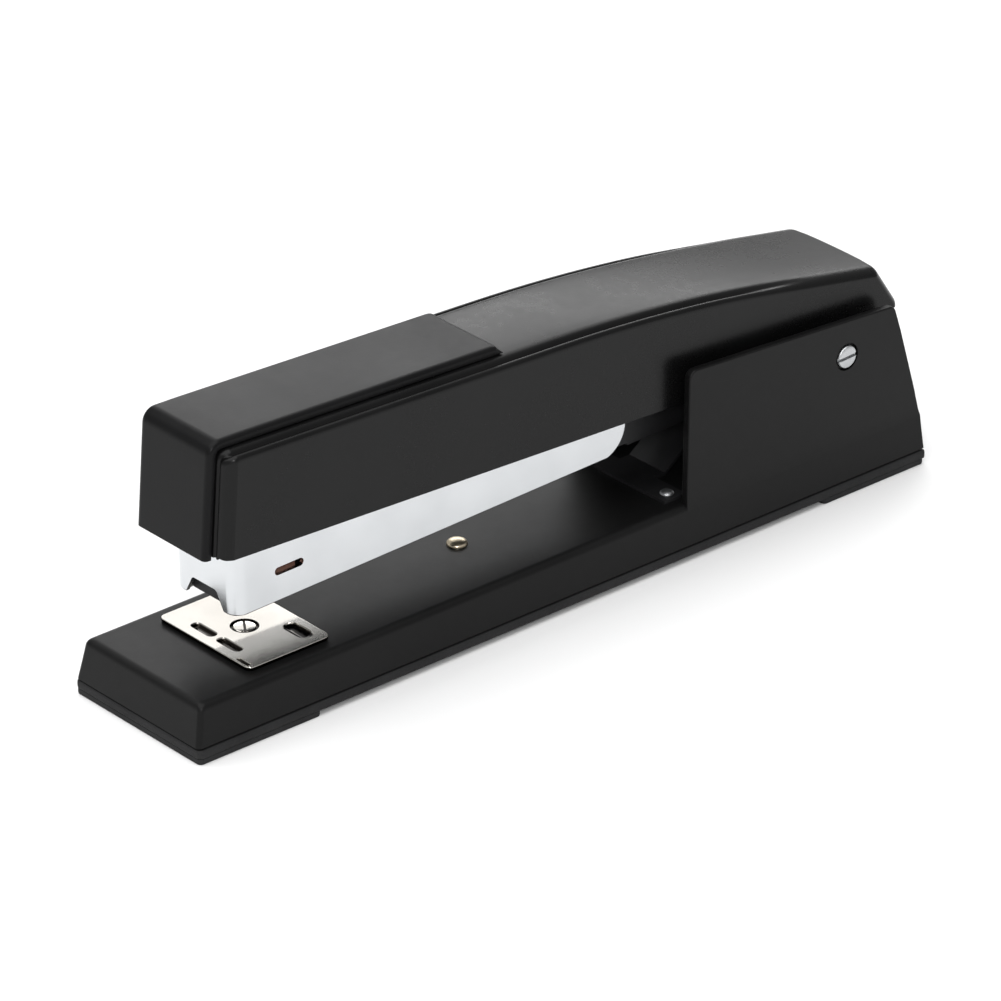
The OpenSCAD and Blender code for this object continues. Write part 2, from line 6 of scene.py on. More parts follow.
import bmesh
import bpy
from mathutils import Matrix, Vector


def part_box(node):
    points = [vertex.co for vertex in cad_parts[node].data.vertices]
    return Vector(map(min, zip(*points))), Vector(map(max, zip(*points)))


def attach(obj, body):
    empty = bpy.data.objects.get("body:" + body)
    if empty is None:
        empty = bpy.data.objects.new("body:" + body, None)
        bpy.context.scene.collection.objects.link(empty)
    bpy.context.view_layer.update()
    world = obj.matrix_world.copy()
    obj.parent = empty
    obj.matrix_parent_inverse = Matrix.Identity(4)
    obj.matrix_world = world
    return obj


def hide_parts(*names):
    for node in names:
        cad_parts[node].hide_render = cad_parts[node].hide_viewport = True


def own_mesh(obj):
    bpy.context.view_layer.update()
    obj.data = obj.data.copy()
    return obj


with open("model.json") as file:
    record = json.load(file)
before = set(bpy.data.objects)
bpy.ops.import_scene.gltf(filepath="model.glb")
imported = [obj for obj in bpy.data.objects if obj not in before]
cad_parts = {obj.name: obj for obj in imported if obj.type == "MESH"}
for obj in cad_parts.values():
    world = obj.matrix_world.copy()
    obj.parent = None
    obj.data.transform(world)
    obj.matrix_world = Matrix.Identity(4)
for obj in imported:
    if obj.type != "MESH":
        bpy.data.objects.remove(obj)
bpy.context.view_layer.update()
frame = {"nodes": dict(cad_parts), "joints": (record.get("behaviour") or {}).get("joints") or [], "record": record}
NODES = frame["nodes"]
JOINTS = {j["name"]: j for j in frame["joints"]}
MM = 0.001

# ---------------------------------------------------------------- places, all from the frame
BASE_LO, BASE_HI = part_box("base_shell")
CASE_LO, CASE_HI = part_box("handle_casing")
MAG_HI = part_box("magazine_shell")[1]
PIN = Vector(JOINTS["magazine_swing"]["pos_m"])
SLIDE = Vector(JOINTS["pusher_slide"]["axis"])
DROOP = math.asin(SLIDE.z)
MAG = Matrix.Translation(PIN) @ Matrix.Rotation(-DROOP, 4, "Y")
HERE = Matrix.Translation((BASE_LO.x, 0, 0))
PIN_D = (PIN.x - BASE_LO.x) / MM
PIN_Z = PIN.z / MM
BASE_LEN = (BASE_HI.x - BASE_LO.x) / MM
POST_D = 27.8  # the anvil post, mm behind the front edge


# ---------------------------------------------------------------- materials
class Nodes:
    """Short hand for a material's node tree."""

    def __init__(self, name):
        self.mat = bpy.data.materials.new(name)
        self.mat.use_nodes = True
        self.tree = self.mat.node_tree
        self.bsdf = self.tree.nodes["Principled BSDF"]
        self.where = self.tree.nodes.new("ShaderNodeTexCoord").outputs["Object"]

    def new(self, kind, **values):
        node = self.tree.nodes.new(kind)
        for key, value in values.items():
            if hasattr(node, key):
                setattr(node, key, value)
            else:
                node.inputs[key.replace("_", " ")].default_value = value
        return node

    def link(self, a, b):
        self.tree.links.new(a, b)

    def noise(self, scale, detail=3.0, rough=0.55, stretch=None):
        node = self.new("ShaderNodeTexNoise", Scale=scale, Detail=detail, Roughness=rough)
        where = self.where
        if stretch:
            mapping = self.new("ShaderNodeMapping")
            mapping.inputs["Scale"].default_value = stretch
            self.link(self.where, mapping.inputs["Vector"])
            where = mapping.outputs["Vector"]
        self.link(where, node.inputs["Vector"])
        return node.outputs["Fac"]

    def spread(self, fac, low, high, at=(0.3, 0.7)):
        node = self.new("ShaderNodeMapRange")
        for key, value in zip(("From Min", "From Max", "To Min", "To Max"), (*at, low, high)):
            node.inputs[key].default_value = value
        self.link(fac, node.inputs["Value"])
        return node.outputs["Result"]

    def colours(self, fac, stops):
        node = self.new("ShaderNodeValToRGB")
        ramp = node.color_ramp
        while len(ramp.elements) < len(stops):
            ramp.elements.new(0.5)
        for e, (at, colour) in zip(ramp.elements, stops):
            e.position = at
            e.color = (*colour, 1)
        self.link(fac, node.inputs["Fac"])
        return node.outputs["Color"]

    def bump(self, height, distance, strength=1.0, under=None):
        node = self.new("ShaderNodeBump", Distance=distance, Strength=strength)
        self.link(height, node.inputs["Height"])
        if under:
            self.link(under, node.inputs["Normal"])
        return node.outputs["Normal"]

    def mix(self, fac, a, b):
        node = self.new("ShaderNodeMix", data_type="RGBA")
        self.link(fac, node.inputs[0])
        for socket, value in ((node.inputs[6], a), (node.inputs[7], b)):
            if isinstance(value, tuple):
                socket.default_value = (*value, 1)
            else:
                self.link(value, socket)
        return node.outputs[2]

    def sums(self, *parts):
        total = parts[0]
        for part in parts[1:]:
            node = self.new("ShaderNodeMath", operation="ADD")
            self.link(total, node.inputs[0])
            self.link(part, node.inputs[1])
            total = node.outputs[0]
        return total

    def done(self, **values):
        for key, value in values.items():
            socket = self.bsdf.inputs[key.replace("_", " ")]
            if isinstance(value, bpy.types.NodeSocket):
                self.link(value, socket)
            else:
                socket.default_value = value
        return self.mat


def enamel(name, dark, light, rough, specular):
    """Baked black enamel: a faint orange peel, duller patches and a few specks of dust."""
    n = Nodes(name)
    cloud = n.noise(35, 4)
    specks = n.spread(n.noise(2600, 2, 0.5), 0.0, 1.0, (0.74, 0.8))
    tone = n.colours(cloud, [(0.3, dark), (0.7, light)])
    tone = n.mix(specks, tone, tuple(2 * c for c in light))
    peel = n.bump(n.noise(1500, 1, 0.5), 0.000005)
    return n.done(
        Base_Color=tone,
        Roughness=n.sums(n.spread(cloud, rough - 0.03, rough + 0.03), n.spread(n.noise(420, 2), 0.0, 0.03)),
        Specular_IOR_Level=specular,
        Normal=n.bump(n.noise(35, 0), 0.00008, 0.1, peel),
    )


SMUDGE_DULLER = 0.12  # how much rougher the smudges are


def steel(name, dark, light, rough, grain, lines=(1, 30, 30), metallic=1.0):
    """Plated or bare sheet metal with a fine rolled grain and duller smudges."""
    n = Nodes(name)
    streak = n.noise(grain, 4, 0.6, lines)
    smudge = n.noise(60, 4, 0.6)
    return n.done(
        Base_Color=n.colours(n.noise(90, 4), [(0.3, dark), (0.7, light)]),
        Metallic=metallic,
        Roughness=n.sums(n.spread(smudge, rough, rough + SMUDGE_DULLER), n.spread(streak, 0.0, 0.06)),
        Normal=n.bump(streak, 0.000004, 0.5),
    )


def pocketed(name, dark, light, rough, grain, face_z):
    """Plated sheet whose pressed pockets, below the height face_z, carry painted shade, near black, in their
    colour.
    """
    n = Nodes(name)
    streak = n.noise(grain, 4, 0.6, (30, 1, 30))
    split = n.new("ShaderNodeSeparateXYZ")
    n.link(n.where, split.inputs["Vector"])
    # painted shade: everything below face_z in the pockets is darkened to near black
    pocket_shade_mask = n.spread(split.outputs["Z"], 1.0, 0.0, (face_z - 0.0003, face_z - 0.00012))
    unshaded_tone = n.colours(n.noise(90, 4), [(0.3, dark), (0.7, light)])
    return n.done(
        Base_Color=n.mix(pocket_shade_mask, unshaded_tone, (0.02, 0.017, 0.014)),
        Metallic=1.0,
        Roughness=n.sums(n.spread(n.noise(60, 4, 0.6), rough, rough + 0.05), n.spread(streak, 0.0, 0.03)),
        Normal=n.bump(streak, 0.000002, 0.3),
    )


def rubber(name, dark, light):
    n = Nodes(name)
    pores = n.noise(3500, 3)
    cloud = n.noise(120, 5)
    return n.done(
        Base_Color=n.colours(cloud, [(0.3, dark), (0.75, light)]),
        Roughness=n.spread(pores, 0.62, 0.8),
        Specular_IOR_Level=0.3,
        Normal=n.bump(pores, 0.00003, 0.6),
    )


MATERIALS = {
    "black_enamel": enamel("enamel_black", (0.003, 0.003, 0.0031), (0.005, 0.005, 0.0051), 0.27, 0.18),
    "black_enamel_base": enamel("enamel_base", (0.003, 0.003, 0.0031), (0.005, 0.005, 0.0051), 0.42, 0.16),
    "black_enamel_cap": enamel("enamel_cap", (0.0045, 0.0045, 0.0048), (0.007, 0.007, 0.0073), 0.3, 0.1),
    "pad_rubber": rubber("rubber_pad", (0.008, 0.008, 0.0084), (0.014, 0.014, 0.0145)),
    "chrome": steel("chrome", (0.60, 0.615, 0.63), (0.66, 0.675, 0.69), 0.10, 260),
    "nickel": pocketed("nickel", (0.58, 0.555, 0.515), (0.66, 0.635, 0.595), 0.05, 300, 0.0135),
    "zinc_steel": steel("zinc_steel", (0.42, 0.43, 0.44), (0.58, 0.59, 0.60), 0.30, 350),
    "spring_steel": steel("spring_steel", (0.34, 0.35, 0.36), (0.47, 0.48, 0.49), 0.25, 400),
    "black_oxide": steel(
        "black_oxide", (0.008, 0.008, 0.009), (0.014, 0.014, 0.015), 0.42, 300, metallic=0.3
    ),
    "stud_brass": steel("stud_brass", (0.66, 0.56, 0.40), (0.78, 0.69, 0.52), 0.24, 500, (1, 1, 1)),
    "coppered_wire": steel("coppered_wire", (0.80, 0.42, 0.32), (0.92, 0.54, 0.42), 0.3, 700, metallic=0.6),
    "black_plastic": rubber("plastic_black", (0.012, 0.012, 0.013), (0.02, 0.02, 0.021)),
}
SLOT_OF = {sub["node"]: sub["material_slot"] for sub in frame["record"]["subparts"]}


# ---------------------------------------------------------------- mesh helpers
def place(name, verts, faces, matrix, slot, body, nodes=(), sharp=32):
    """A mesh from points in mm, moved by matrix into the row frame, riding on a body."""
    bm = bmesh.new()
    made = [bm.verts.new(matrix @ (Vector(v) * MM)) for v in verts]
    for f in faces:
        if len(set(f)) > 2:
            try:
                bm.faces.new([made[i] for i in f])
            except ValueError:
                pass
    return finish_mesh(name, bm, slot, body, nodes, sharp)


def finish_mesh(name, bm, slot, body, nodes=(), sharp=32, look=None):
    bmesh.ops.remove_doubles(bm, verts=bm.verts, dist=2e-6)
    bmesh.ops.dissolve_degenerate(bm, edges=bm.edges, dist=1e-6)
    loose = [v for v in bm.verts if not v.link_faces]
    bmesh.ops.delete(bm, geom=loose, context="VERTS")
    bmesh.ops.recalc_face_normals(bm, faces=bm.faces)
    for f in bm.faces:
        f.smooth = True
    for e in bm.edges:
        e.smooth = not (len(e.link_faces) == 2 and e.calc_face_angle(0) > math.radians(sharp))
    mesh = bpy.data.meshes.new(name)
    bm.to_mesh(mesh)
    bm.free()
    obj = bpy.data.objects.new(name, mesh)
    bpy.context.scene.collection.objects.link(obj)
    mesh.materials.append(MATERIALS[look or slot])
    even = obj.modifiers.new("even_shading", "WEIGHTED_NORMAL")
    even.keep_sharp = True
    even.weight = 100
    if body:
        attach(obj, body)
    if nodes:
        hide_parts(*nodes)
    return obj


def solid_bm(verts, faces):
    """A closed bmesh from points in mm."""
    bm = bmesh.new()
    made = [bm.verts.new(Vector(v) * MM) for v in verts]
    for f in faces:
        bm.faces.new([made[i] for i in f])
    bmesh.ops.recalc_face_normals(bm, faces=bm.faces)
    return bm


def temp_object(bm):
    mesh = bpy.data.meshes.new("temp")
    bm.to_mesh(mesh)
    obj = bpy.data.objects.new("temp", mesh)
    bpy.context.scene.collection.objects.link(obj)
    return obj


def combine(body, *steps):
    """Cuts or joins closed meshes in turn: steps are ("DIFFERENCE" or "UNION", bmesh)."""
    target = temp_object(body)
    body.free()
    for operation, tool in steps:
        cutter = temp_object(tool)
        tool.free()
        mod = target.modifiers.new("step", "BOOLEAN")
        mod.operation = operation
        mod.solver = "EXACT"
        mod.object = cutter
        bpy.context.view_layer.update()
        shape = bpy.data.meshes.new_from_object(target.evaluated_get(bpy.context.evaluated_depsgraph_get()))
        target.modifiers.clear()
        target.data = shape
        bpy.data.objects.remove(cutter)
    bm = bmesh.new()
    bm.from_mesh(target.data)
    bpy.data.objects.remove(target)
    return bm


def absorb(target, part):
    """Adds part's mesh to target's and frees part."""
    mesh = bpy.data.meshes.new("temp")
    part.to_mesh(mesh)
    part.free()
    target.from_mesh(mesh)
    bpy.data.meshes.remove(mesh)


def loft(rings):
    """Verts and faces of a closed solid through rings of equal count."""
    count = len(rings[0])
    verts = [p for ring in rings for p in ring]
    faces = []
    for i in range(len(rings) - 1):
        for k in range(count):
            m = (k + 1) % count
            faces.append((i * count + k, i * count + m, (i + 1) * count + m, (i + 1) * count + k))
    faces.append(tuple(reversed(range(count))))
    faces.append(tuple(range((len(rings) - 1) * count, len(rings) * count)))
    return verts, faces


# how a 2D point and a height along the axis make a 3D point
ALONG = {
    "Y": lambda p, h: (p[0], h, p[1]),
    "Z": lambda p, h: (p[0], p[1], h),
    "X": lambda p, h: (h, p[0], p[1]),
}


def prism(outline, low, high, axis="Y"):
    """Closed prism of a 2D outline. axis Y: outline is (x, z); Z: (x, y); X: (y, z)."""
    put = ALONG[axis]
    return loft([[put(p, h) for p in outline] for h in (low, high)])


def disc(cx, cz, r, count=48, start=0.0):
    angles = [start + 2 * math.pi * i / count for i in range(count)]
    return [(cx + r * math.cos(a), cz + r * math.sin(a)) for a in angles]


def rounded(points, radii, steps=6):
    """Outline with its corners rounded off; radii is one number or one for each corner."""
    n = len(points)
    radii = [radii] * n if isinstance(radii, (int, float)) else radii
    out = []
    for i, (p, r) in enumerate(zip(points, radii)):
        p, a, b = Vector(p), Vector(points[i - 1]), Vector(points[(i + 1) % n])
        if r <= 0:
            out.append(tuple(p))
            continue
        u, v = (a - p).normalized(), (b - p).normalized()
        half = u.angle(v) / 2
        reach = r / math.tan(half)
        centre = p + (u + v).normalized() * (r / math.sin(half))
        s, e = p + u * reach - centre, p + v * reach - centre
        turn = s.angle_signed(e)
        for k in range(steps + 1):
            t = -turn * k / steps
            c, w = math.cos(t), math.sin(t)
            out.append((centre.x + s.x * c - s.y * w, centre.y + s.x * w + s.y * c))
    return out


def lathe(profile, count=48):
    """Closed turned shape about Z from (radius, z) points, first and last on the axis."""
    angles = [2 * math.pi * i / count for i in range(count)]
    return loft([[(r * math.cos(a), r * math.sin(a), z) for a in angles] for r, z in profile])


def inset(outline, d):
    """Closed convex outline with every point moved inwards by about d."""
    n = len(outline)
    area = sum(outline[i - 1][0] * outline[i][1] - outline[i][0] * outline[i - 1][1] for i in range(n))
    side = 1 if area > 0 else -1
    out = []
    for i, p in enumerate(outline):
        a, b = Vector(outline[i - 1]), Vector(outline[(i + 1) % n])
        t = (b - a).normalized()
        out.append((p[0] - side * t.y * d, p[1] + side * t.x * d))
    return out


def soft_prism(outline, low, high, axis="Y", r=0.3, steps=3):
    """Closed prism whose end faces have rounded edges."""
    put = ALONG[axis]
    rings = []
    for end, way in ((low, 1), (high, -1)):
        part = []
        for k in range(steps + 1):
            t = math.pi / 2 * k / steps
            height = end + way * r * (1 - math.sin(t))
            part.append([put(p, height) for p in inset(outline, r * (1 - math.cos(t)))])
        rings += part[::-1] if way == 1 else part
    return loft(rings)


def box_shape(low, high):
    (a, b, c), (x, y, z) = low, high
    return prism([(a, b), (x, b), (x, y), (a, y)], c, z, "Z")


def tangent_at(path, i):
    """Unit direction of a 2D path at its point i."""
    a, b = Vector(path[max(i - 1, 0)]), Vector(path[min(i + 1, len(path) - 1)])
    return (b - a).normalized()


def swept_skin(path, inner_path, profiles, wall, panel=None, clamp=None):
    """Bent sheet with an inner skin, from a half section (y, drop) for each station of an X-Z path.

    panel adds flat sides below the strip, and clamp keeps points beyond a width above a line.
    """
    outer_pts, inner_pts = [], []
    n = len(path)
    for i, (p, q) in enumerate(zip(path, inner_path)):
        t = tangent_at(path, i)
        down = Vector((t.y, -t.x))
        columns = [(-y, d) for y, d in reversed(profiles[i][1:])] + list(profiles[i])
        half = profiles[i][-1][0]
        for y, d in columns:
            o, w = Vector(p) + down * d, Vector(q)
            if clamp and abs(y) > clamp[0]:
                o.y = max(o.y, clamp[1](o.x))
                w.y = max(w.y, clamp[1](w.x))
            outer_pts.append((o.x, y, o.y))
            inner_pts.append((w.x, y * (half - wall) / half, w.y))
    width = 2 * len(profiles[0]) - 1
    faces = []
    for i in range(n - 1):
        for c in range(width - 1):
            faces.append((i * width + c, i * width + c + 1, (i + 1) * width + c + 1, (i + 1) * width + c))
    if panel:
        # side panels below the swept strip, one on each side, in two parts round the pin's hole
        lower, hole_centre, hole_r, top_station = panel
        count = 32
        for column, side in ((width - 1, 1), (0, -1)):
            y = side * profiles[0][-1][0]
            start = len(outer_pts)
            around_hole = disc(*hole_centre, hole_r, count, math.pi / 2)
            for u, w in lower + around_hole:
                outer_pts.append((u, y, w))
                inner_pts.append((u, y - side * wall, w))
            strip = [i * width + column for i in range(n)]
            low = list(range(start, start + len(lower)))
            ring = list(range(start + len(lower), start + len(lower) + count))
            split = min(range(len(lower)), key=lambda i: abs(lower[i][0] - hole_centre[0]))
            faces.append(tuple(strip[: top_station + 1] + ring[: count // 2 + 1] + low[split:]))
            faces.append(tuple(strip[top_station:] + low[: split + 1] + ring[count // 2 :] + ring[:1]))
    total = len(outer_pts)
    used = {}
    for f in faces:
        for a, b in zip(f, f[1:] + f[:1]):
            used.setdefault((min(a, b), max(a, b)), []).append((a, b))
    free = [pairs[0] for pairs in used.values() if len(pairs) == 1]
    shell = [tuple(reversed([v + total for v in f])) for f in faces]
    rim = [(b, a, a + total, b + total) for a, b in free]
    return outer_pts + inner_pts, faces + shell + rim


# ---------------------------------------------------------------- handle
NOSE_D = (CASE_LO.x - BASE_LO.x) / MM
NOSE_TOP = CASE_HI.z / MM
TAIL_D = (CASE_HI.x - BASE_LO.x) / MM
HALF_CASE = CASE_HI.y / MM
EAR_Z = CASE_LO.z / MM
SKIRT_Z = 38.9
LEAN = 0.075
LOW_R = 1.4
BEND_D, BEND_END, BEND_R = 100, 165, 464


def crown(d):
    """Height of the handle's crown in mm, d mm behind the base's front edge."""
    if d < BEND_D:
        return NOSE_TOP - 0.04 * (d - 14)
    if d < BEND_END:
        return crown(BEND_D - 0.01) - 0.04 * (d - BEND_D) - (d - BEND_D) ** 2 / (2 * BEND_R)
    return crown(BEND_END - 0.01) - 0.18 * (d - BEND_END)


def skirt(d):
    """Height of the handle's lower edge."""
    return SKIRT_Z - 0.0425 * (d - NOSE_D - LOW_R)


def low_corner(d):
    """Height of the rounded lower front corner of the side panels."""
    gone = NOSE_D + LOW_R - d
    return SKIRT_Z + LOW_R - math.sqrt(max(LOW_R**2 - gone**2, 0)) if gone > 0 else skirt(d)


def nose_line(front, rise, low):
    """Points up the nose from its lower edge, and its top corner, rise mm outside the casing's."""
    rows = [0, 0.35, 0.75, 1.2, 1.8, 2.6, 3.6, 5, 8, 12, 16, 19.2]
    line = [(front + LEAN * (low + h - SKIRT_Z), low + h) for h in rows]
    return line, (front + LEAN * (NOSE_TOP + rise - SKIRT_Z), NOSE_TOP + rise)


def blend_profiles(a, b, f):
    f = min(max(f, 0), 1)
    f = f * f * (3 - 2 * f)
    return [(p[0] + (q[0] - p[0]) * f, p[1] + (q[1] - p[1]) * f) for p, q in zip(a, b)]


# half sections of the cover, y from the middle and drop below the crown
CROWNED = [(0, 0), (4, 0.02), (8, 0.1), (10.4, 0.26)]
# over the handle: crown, shoulder, groove, bead along the edge, then the side
BEADED = CROWNED + [
    (11.0, 0.34), (11.4, 0.44), (11.75, 0.58), (12.0, 0.78), (12.2, 1.06), (12.36, 1.34),
    (12.52, 1.5), (12.68, 1.5), (12.82, 1.36), (12.93, 1.16), (13.06, 1.03), (13.26, 0.98),
    (13.5, 1.0), (13.73, 1.09), (13.93, 1.24), (14.09, 1.45), (14.19, 1.75), (HALF_CASE, 2.3),
]
# down the nose: a groove beside the plate, then a plain rounded corner
NOSED = CROWNED + [
    (10.72, 0.36), (10.85, 0.6), (11.0, 0.78), (11.15, 0.82), (11.3, 0.75), (11.42, 0.56),
    (11.56, 0.4), (11.8, 0.37), (12.1, 0.43), (12.4, 0.54), (12.7, 0.69), (13.0, 0.88),
    (13.3, 1.12), (13.6, 1.44), (13.85, 1.79), (14.08, 2.2), (14.22, 2.54), (HALF_CASE, 2.85),
]
# at the tail: one plain rounded edge
EDGE_START, EDGE_FROM, EDGE_DROP = 10.6, 0.28, 2.0
PLAIN = CROWNED + [
    (EDGE_START + (HALF_CASE - EDGE_START) * math.sin(t), EDGE_FROM + EDGE_DROP * (1 - math.cos(t)))
    for t in [math.pi / 2 * k / 18 for k in range(1, 19)]
]
CASE_WALL = 1.2
FADE_FROM, FADE_TO = 142, 172  # the bead fades into the plain edge between these


def casing():
    line, corner = nose_line(NOSE_D, 0, SKIRT_Z)
    tail_top = 188.9
    top = [20, 26, 34, 50, 70, 90, *range(100, 166, 5), 169, 172.5, PIN_D, 179, 183, tail_top]
    points = line + [corner] + [(d, crown(d)) for d in top] + [(TAIL_D, 37.6), (TAIL_D, 36.4)]
    steps = 8
    path = rounded(points, [0] * len(line) + [3] + [0] * (len(top) - 1) + [2.9, 3.4, 0], steps)
    inner, profiles = [], []
    for i, p in enumerate(path):
        t = tangent_at(path, i)
        inner.append((p[0] + t.y * 2.1, p[1] - t.x * 2.1))
        if i <= len(line) + steps:
            profiles.append(blend_profiles(NOSED, BEADED, (i - len(line)) / steps))
        else:
            profiles.append(blend_profiles(BEADED, PLAIN, (p[0] - FADE_FROM) / (FADE_TO - FADE_FROM)))
    station = min(range(len(line), len(path)), key=lambda i: abs(path[i][0] - PIN_D))
    ear_back, ear_front = 162.6, 169.6
    ear = [
        (TAIL_D - 2.8, 36.4), (181.6, EAR_Z), (PIN_D, EAR_Z), (ear_front, EAR_Z), (ear_back, skirt(ear_back)),
    ]
    lower = rounded(ear, [0, 3, 0, 3, 0], 4)[1:-1]
    lower += [(d, skirt(d)) for d in (ear_back, 140, 120, 100, 80, 60, 40, 25)]
    verts, faces = swept_skin(
        path, inner, profiles, CASE_WALL, (lower, (PIN_D, PIN_Z), 2.4, station), (12.2, low_corner)
    )
    return place("handle_cover", verts, faces, HERE, "black_enamel", "handle", ["handle_casing"], sharp=38)


casing()


def cap():
    low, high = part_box("handle_cap")
    front = (low.x - BASE_LO.x) / MM
    thick = high.z / MM - NOSE_TOP
    half = high.y / MM
    back = 85.6
    line, corner = nose_line(front, thick, low.z / MM)
    top = [(d, crown(d) + thick) for d in (20, 30, 45, 60, 75, back - 1.2)]
    edge_z = crown(back) + thick
    ends = [(back - 0.5, edge_z - 0.03), (back, edge_z - 0.18), (back + 0.3, edge_z - 0.5)]
    points = line + [corner] + top + ends
    radii = [0] * len(line) + [3.2] + [0] * (len(top) + len(ends))
    path = rounded(points, radii, 7)
    n = len(path)
    inner = []
    for i, p in enumerate(path):
        t = tangent_at(path, i)
        inner.append((p[0] + t.y * (thick - 0.04), p[1] - t.x * (thick - 0.04)))
    for i in range(n - 4, n):
        d = path[i][0] + (1.2 if i == n - 1 else 0.5 * (i - n + 4) / 3)
        inner[i] = (d, crown(d) + 0.03)
    section = [
        (0, 0), (4, 0), (7.5, 0), (9.4, 0), (9.8, 0.03), (10.15, 0.12),
        (10.42, 0.3), (10.6, 0.55), (10.68, 0.85), (half, 1.3),
    ]
    verts, faces = swept_skin(path, inner, [section] * n, 0)
    return place("nose_plate", verts, faces, HERE, "black_enamel_cap", "handle", ["handle_cap"], sharp=38)


cap()


# ---------------------------------------------------------------- base
REAR_SHARE = 0.25  # the base leans in less at the rear than at the front
REAR_CORNER = 0.3  # and has sharper corners there


def plan_ring(z, half, end_in, r):
    """Rounded rectangle at height z, sharper and less drawn in at its rear end."""
    back = BASE_LEN - REAR_SHARE * end_in
    corners = [(end_in, -half), (back, -half), (back, half), (end_in, half)]
    return [(x, y, z) for x, y in rounded(corners, [r, REAR_CORNER * r, REAR_CORNER * r, r], 7)]


def levels(*rows):
    """Closed solid through rounded rectangles, each (z, half width, end inset, corner radius)."""
    return loft([plan_ring(*row) for row in rows])


TOP = 12.5
CHEEK_OUT, CHEEK_IN = 18.5, 16.7


def cheek_side(z):
    """Half width over the cheeks: upright above, running into the base's sloping side below."""
    return CHEEK_OUT + 0.0125 * max(14.2 - z, 0) ** 2 if z > 8 else 19


def cheek(side):
    rear = [(189.2, 39.6), (191.3, 33.3), (193.6, 25.5), (195.9, 17.6), (197.55, 10.4)]
    outline = rounded([(130.6, 10.4), (131, 43.2)] + rear, [0, 2, 2, 0, 0, 0, 0], 7)
    low, high = (CHEEK_IN, CHEEK_OUT) if side > 0 else (-CHEEK_OUT, -CHEEK_IN)
    bm = solid_bm(*soft_prism(outline, low, high, "Y", 0.35))
    for z in (10.8, 11.4, 12.0, 12.8, 13.6, 14.6):
        geometry = bm.verts[:] + bm.edges[:] + bm.faces[:]
        bmesh.ops.bisect_plane(bm, geom=geometry, dist=1e-7, plane_co=(0, 0, z * MM), plane_no=(0, 0, 1))
    for v in bm.verts:
        if abs(v.co.y) > 17.8 * MM:
            v.co.y += side * (cheek_side(v.co.z / MM) - CHEEK_OUT) * MM
    return bm


def base():
    body = solid_bm(
        *levels(
            (3.6, 19.6, 0, 1.1), (4.2, 19.52, 0.1, 1.1), (7.5, 19.06, 0.76, 1.1), (10.9, 18.64, 1.42, 1.1),
            (11.35, 18.58, 1.54, 1.1), (11.75, 18.4, 1.74, 1.1), (12.08, 18.12, 2.0, 1.1),
            (12.32, 17.74, 2.36, 1.1), (12.46, 17.28, 2.8, 1.1), (TOP, 16.8, 3.3, 1.1),
        )
    )
    hollow = solid_bm(*levels((3, 18.0, 1.6, 0.6), (8.0, 17.2, 2.5, 0.6), (8.1, 17.2, 2.5, 0.6)))
    hollow_front = solid_bm(*prism([(3.2, 3), (148, 3), (148, 10.9), (3.2, 10.9)], -16.9, 16.9))
    bay = solid_bm(*box_shape((150, -CHEEK_IN, 9.5), (199, CHEEK_IN, 50)))
    recess = [
        solid_bm(*prism(disc(PIN_D, PIN_Z, 3.1), *sorted((s * (CHEEK_OUT - 0.9), s * (CHEEK_OUT + 2)))))
        for s in (-1, 1)
    ]
    bore = solid_bm(*prism(disc(PIN_D, PIN_Z, 2.03), -22, 22))
    post = solid_bm(*prism(disc(POST_D, 0, 2.3, 32), 3, 14, "Z"))
    bm = combine(
        body, ("DIFFERENCE", hollow), ("DIFFERENCE", hollow_front), ("DIFFERENCE", bay),
        ("UNION", cheek(1)), ("UNION", cheek(-1)),
        ("DIFFERENCE", recess[0]), ("DIFFERENCE", recess[1]), ("DIFFERENCE", bore), ("DIFFERENCE", post),
    )
    bmesh.ops.transform(bm, matrix=HERE, verts=bm.verts)
    return finish_mesh("base_pan", bm, "black_enamel", "base", ["base_shell"], 34, "black_enamel_base")


base()


def button_hole():
    """Cutter for the hole in the pad round the anvil's button."""
    return solid_bm(*prism(disc(POST_D, 0, 7.0), -1, 9, "Z"))


def pad():
    verts, faces = levels(
        (1.2, 19.4, 0.5, 1.0), (1.25, 19.7, 0.25, 1.1), (1.45, 19.88, 0.07, 1.2), (1.8, 19.95, 0, 1.2),
        (2.6, 19.95, 0, 1.2), (2.95, 19.9, 0.05, 1.2), (3.15, 19.75, 0.2, 1.1), (3.2, 19.5, 0.45, 1.0),
        (3.2, 18.75, 1.1, 1.0), (3.55, 18.7, 1.15, 1.0), (3.58, 18.0, 1.9, 0.8), (4.4, 17.7, 2.2, 0.8),
    )
    bm = solid_bm(verts, faces)
    hole = button_hole()
    bm = combine(bm, ("DIFFERENCE", hole))
    merged = [bm]
    foot_half = 19.85
    for x, end in ((0.1, 31.3), (168.5, BASE_LEN - 0.1)):
        outline = rounded([(x, -foot_half), (end, -foot_half), (end, foot_half), (x, foot_half)], 1.1, 6)
        sole = ((0, 0.35), (0.1, 0.1), (0.35, 0), (1.3, 0))
        rings = [[(*p, z) for p in inset(outline, d)] for z, d in sole]
        foot = solid_bm(*loft(rings))
        if x < POST_D:
            foot = combine(foot, ("DIFFERENCE", button_hole()))
        merged.append(foot)
    target = bmesh.new()
    for part in merged:
        absorb(target, part)
    bmesh.ops.transform(target, matrix=HERE, verts=target.verts)
    return finish_mesh("rubber_pad", target, "pad_rubber", "base", ["base_pad"], 40)


pad()


# ---------------------------------------------------------------- magazine, in its own frame, mm from the pin
M_FRONT, M_LOW, M_TOP, M_BACK = -157.9, -6.1, 10, -54.6
M_HALF = round(MAG_HI.y / MM, 3)
INNER_FRONT = M_FRONT + 2.6


